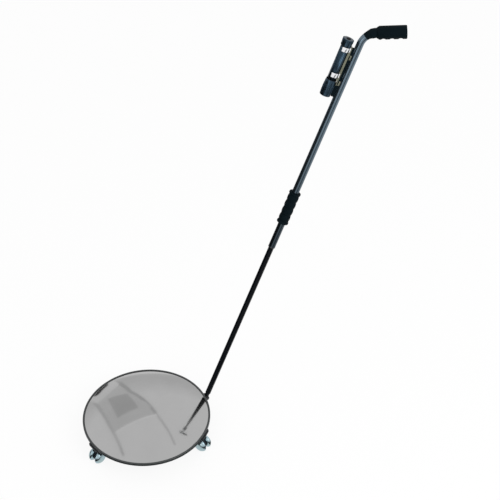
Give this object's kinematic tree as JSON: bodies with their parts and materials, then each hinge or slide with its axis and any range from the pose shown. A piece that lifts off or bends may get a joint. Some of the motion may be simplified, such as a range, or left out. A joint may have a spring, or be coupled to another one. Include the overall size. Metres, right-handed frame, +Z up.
{
  "type": "under-vehicle inspection mirror",
  "caption": "Round convex search mirror on ball casters with a tilting telescopic pole, bent rubber handle and a torch held in spring clips.",
  "frame": {"origin": "centre of the base hub's flat underside, below the middle of the mirror", "axes": "+Z up, +X from the mirror's centre towards the pole's hinge, +Y to the left of that"},
  "size_m": [0.7928, 0.3077, 0.9723],
  "materials": {
    "black_steel": "satin black powder coat",
    "plate_steel": "black painted steel sheet",
    "mirror_face": "silvered convex acrylic, clean",
    "edge_rubber": "black rubber edge trim",
    "zinc_fasteners": "zinc plated",
    "black_fasteners": "black oxide",
    "nylon": "natural nylon",
    "black_plastic": "moulded black plastic",
    "brass": "turned brass",
    "tube_lower": "matt black anodised",
    "tube_upper": "semi-gloss black anodised",
    "grip_rubber": "matt black moulded rubber",
    "button_rubber": "black silicone",
    "khaki_steel": "yellow passivated zinc strip",
    "clip_chrome": "bright chrome spring steel",
    "torch_black": "black anodised",
    "lens_clear": "clear lens",
    "reflector_bright": "vacuum metallised",
    "led_yellow": "lamp module",
    "cell_wrap": "plain wrapped cell",
    "spring_steel": "spring wire",
    "caster_chrome": "bright chrome plated",
    "caster_black": "black coated casting",
    "caster_steel": "bright steel"
  },
  "bodies": {
    "head": {"base_spider": "black_steel", "back_plate": "plate_steel", "convex_mirror": "mirror_face", "rim_trim": "edge_rubber", "spider_screws": "zinc_fasteners", "tilt_bracket": "black_steel", "bracket_screws": "zinc_fasteners", "tilt_bolt": "black_fasteners", "tilt_nut": "black_fasteners", "tilt_washers": "nylon", "caster_bushings": "brass"},
    "lower_pole": {"pole_knuckle": "tube_lower", "knuckle_pin": "black_fasteners", "lower_tube": "tube_lower", "lock_screw": "brass"},
    "lock_expander": {"lock_sleeve": "nylon"},
    "upper_pole": {"upper_tube": "tube_upper", "guide_bushing": "black_plastic", "mid_grip": "grip_rubber", "handle_grip": "grip_rubber", "handle_plug": "black_plastic", "torch_rail": "khaki_steel", "rail_screws": "zinc_fasteners", "torch_clip_lower": "clip_chrome", "torch_clip_upper": "clip_chrome", "clip_rivets": "zinc_fasteners"},
    "torch": {"torch_barrel": "torch_black", "torch_head": "torch_black", "torch_bezel": "torch_black", "torch_lens": "lens_clear", "torch_reflector": "reflector_bright", "torch_led_module": "led_yellow", "torch_batteries": "cell_wrap", "torch_spring": "spring_steel", "torch_switch": "black_plastic", "torch_tailcap": "torch_black", "torch_seals": "button_rubber"},
    "torch_button": {"torch_button": "button_rubber"},
    "caster_right": {"caster_right_horn": "caster_black", "caster_right_kingpin": "caster_steel", "caster_right_axle": "caster_steel"},
    "caster_right_wheel_left": {"caster_right_wheel_left": "caster_chrome"},
    "caster_right_wheel_right": {"caster_right_wheel_right": "caster_chrome"},
    "caster_rear": {"caster_rear_horn": "caster_black", "caster_rear_kingpin": "caster_steel", "caster_rear_axle": "caster_steel"},
    "caster_rear_wheel_left": {"caster_rear_wheel_left": "caster_chrome"},
    "caster_rear_wheel_right": {"caster_rear_wheel_right": "caster_chrome"},
    "caster_left": {"caster_left_horn": "caster_black", "caster_left_kingpin": "caster_steel", "caster_left_axle": "caster_steel"},
    "caster_left_wheel_left": {"caster_left_wheel_left": "caster_chrome"},
    "caster_left_wheel_right": {"caster_left_wheel_right": "caster_chrome"}
  },
  "joints": [
    {"name": "pole_tilt", "type": "hinge", "parent": "head", "child": "lower_pole", "pos_m": [0.1555, 0, -0.0005], "axis": [0, 1, 0], "range_deg": [-23, 45]},
    {"name": "pole_twist", "type": "hinge", "parent": "lower_pole", "child": "lock_expander", "pos_m": [0.1555, 0, -0.0005], "axis": [0.3955, 0, 0.9184], "continuous": true},
    {"name": "pole_telescope", "type": "slide", "parent": "lock_expander", "child": "upper_pole", "axis": [0.3955, 0, 0.9184], "range_m": [-0.3, 0]},
    {"name": "torch_turn", "type": "hinge", "parent": "upper_pole", "child": "torch", "pos_m": [0.4649, 0.01325, 0.77594], "axis": [0.3955, 0, 0.9184], "continuous": true},
    {"name": "torch_switch_press", "type": "slide", "parent": "torch", "child": "torch_button", "axis": [-0.3955, 0, -0.9184], "range_m": [0, 0.0015], "stiffness_N_per_m": 400},
    {"name": "caster_right_swivel", "type": "hinge", "parent": "head", "child": "caster_right", "pos_m": [0.09033, -0.10032, 0], "axis": [0, 0, 1], "continuous": true},
    {"name": "caster_right_left_roll", "type": "hinge", "parent": "caster_right", "child": "caster_right_wheel_left", "pos_m": [0.09456, -0.10939, -0.02505], "axis": [0.9063, 0.4226, 0], "continuous": true},
    {"name": "caster_right_right_roll", "type": "hinge", "parent": "caster_right", "child": "caster_right_wheel_right", "pos_m": [0.09456, -0.10939, -0.02505], "axis": [0.9063, 0.4226, 0], "continuous": true},
    {"name": "caster_rear_swivel", "type": "hinge", "parent": "head", "child": "caster_rear", "pos_m": [0.04172, 0.12839, 0], "axis": [0, 0, 1], "continuous": true},
    {"name": "caster_rear_left_roll", "type": "hinge", "parent": "caster_rear", "child": "caster_rear_wheel_left", "pos_m": [0.03702, 0.13722, -0.02505], "axis": [-0.8829, -0.4695, 0], "continuous": true},
    {"name": "caster_rear_right_roll", "type": "hinge", "parent": "caster_rear", "child": "caster_rear_wheel_right", "pos_m": [0.03702, 0.13722, -0.02505], "axis": [-0.8829, -0.4695, 0], "continuous": true},
    {"name": "caster_left_swivel", "type": "hinge", "parent": "head", "child": "caster_left", "pos_m": [-0.13205, -0.02807, 0], "axis": [0, 0, 1], "continuous": true},
    {"name": "caster_left_left_roll", "type": "hinge", "parent": "caster_left", "child": "caster_left_wheel_left", "pos_m": [-0.14104, -0.03245, -0.02505], "axis": [0.4384, -0.8988, 0], "continuous": true},
    {"name": "caster_left_right_roll", "type": "hinge", "parent": "caster_left", "child": "caster_left_wheel_right", "pos_m": [-0.14104, -0.03245, -0.02505], "axis": [0.4384, -0.8988, 0], "continuous": true}
  ]
}
